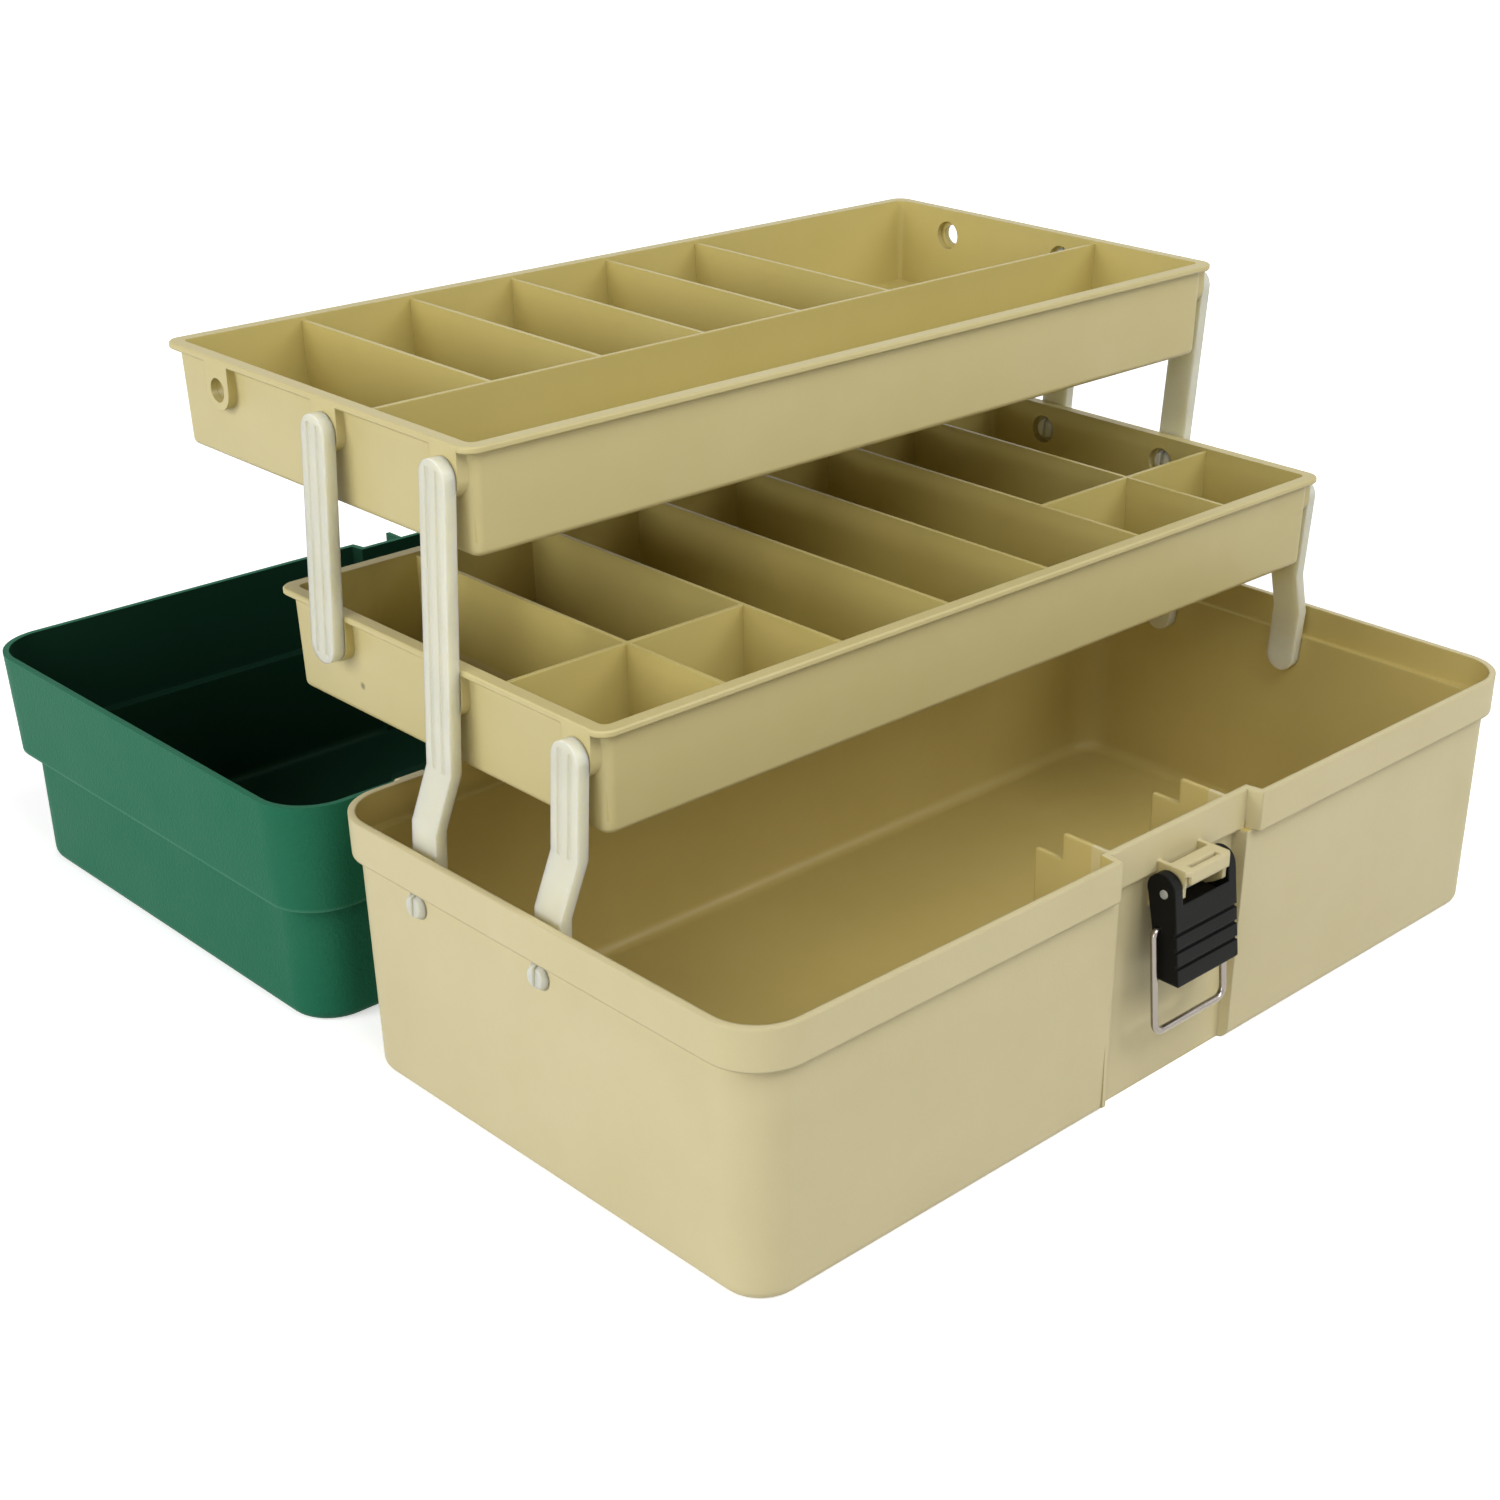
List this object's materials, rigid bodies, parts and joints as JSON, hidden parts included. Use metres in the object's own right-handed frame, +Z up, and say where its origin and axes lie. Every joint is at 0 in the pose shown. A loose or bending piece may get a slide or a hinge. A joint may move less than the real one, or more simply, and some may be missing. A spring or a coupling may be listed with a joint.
{
  "type": "cantilever tool box",
  "caption": "Moulded plastic tool box, open: drafted tub, hinged lid laid back, two divided trays on parallel swing arms, wire-bail draw latch and folding handle.",
  "frame": {"origin": "centre of the tub's underside", "axes": "+Z up, +X along the tub's length to the right, -Y to the latch, +Y to the hinged lid"},
  "size_m": [0.4112, 0.4635, 0.2362],
  "materials": {
    "cream_plastic": "fine moulded texture",
    "green_plastic": "fine moulded texture",
    "white_plastic": "satin",
    "black_plastic": "satin",
    "bright_steel": "bright plated wire",
    "pin_steel": "plain"
  },
  "bodies": {
    "base": {"base_box": "cream_plastic", "latch_pin": "white_plastic", "hinge_pin_left": "pin_steel", "hinge_pin_right": "pin_steel"},
    "main_arms": {"main_arm_left": "white_plastic", "main_arm_right": "white_plastic"},
    "front_arms": {"front_arm_left": "white_plastic", "front_arm_right": "white_plastic"},
    "rear_arms": {"rear_arm_left": "white_plastic", "rear_arm_right": "white_plastic"},
    "lower_tray": {"lower_tray": "cream_plastic"},
    "upper_tray": {"upper_tray": "cream_plastic"},
    "lid": {"lid": "green_plastic"},
    "handle": {"handle": "black_plastic"},
    "latch_lever": {"latch_lever": "black_plastic"},
    "latch_bail": {"latch_bail": "bright_steel"}
  },
  "joints": [
    {"name": "tray_swing", "type": "hinge", "parent": "base", "child": "main_arms", "pos_m": [0, 0.0605, 0.078], "axis": [1, 0, 0], "range_deg": [0, 53.8]},
    {"name": "lower_tray_pivot", "type": "hinge", "parent": "main_arms", "child": "lower_tray", "pos_m": [0, 0.05491, 0.15058], "axis": [1, 0, 0], "range_deg": [-53.8, 0]},
    {"name": "upper_tray_pivot", "type": "hinge", "parent": "main_arms", "child": "upper_tray", "pos_m": [0, 0.04918, 0.22517], "axis": [1, 0, 0], "range_deg": [-53.8, 0]},
    {"name": "front_arm_swing", "type": "hinge", "parent": "base", "child": "front_arms", "pos_m": [0, -0.0045, 0.078], "axis": [1, 0, 0], "range_deg": [0, 53.8]},
    {"name": "rear_arm_swing", "type": "hinge", "parent": "lower_tray", "child": "rear_arms", "pos_m": [0, 0.11991, 0.15058], "axis": [1, 0, 0], "range_deg": [0, 53.8]},
    {"name": "lid_hinge", "type": "hinge", "parent": "base", "child": "lid", "pos_m": [0, 0.1162, 0.0907], "axis": [1, 0, 0], "range_deg": [0, 180]},
    {"name": "handle_fold", "type": "hinge", "parent": "lid", "child": "handle", "pos_m": [0, 0.2324, 0.0047], "axis": [-1, 0, 0], "range_deg": [0, 90]},
    {"name": "latch_lever_swing", "type": "hinge", "parent": "base", "child": "latch_lever", "pos_m": [0, -0.1085, 0.0799], "axis": [-1, 0, 0], "range_deg": [0, 50]},
    {"name": "bail_swing", "type": "hinge", "parent": "latch_lever", "child": "latch_bail", "pos_m": [0, -0.107, 0.0658], "axis": [-1, 0, 0], "range_deg": [-4.7, 125]}
  ],
  "couplings": [
    {"joint": "lower_tray_pivot", "follows": "tray_swing", "ratio": -1},
    {"joint": "upper_tray_pivot", "follows": "tray_swing", "ratio": -1},
    {"joint": "front_arm_swing", "follows": "tray_swing", "ratio": 1},
    {"joint": "rear_arm_swing", "follows": "tray_swing", "ratio": 1},
    {"joint": "lid_hinge", "follows": "tray_swing", "ratio": 3.3457}
  ]
}
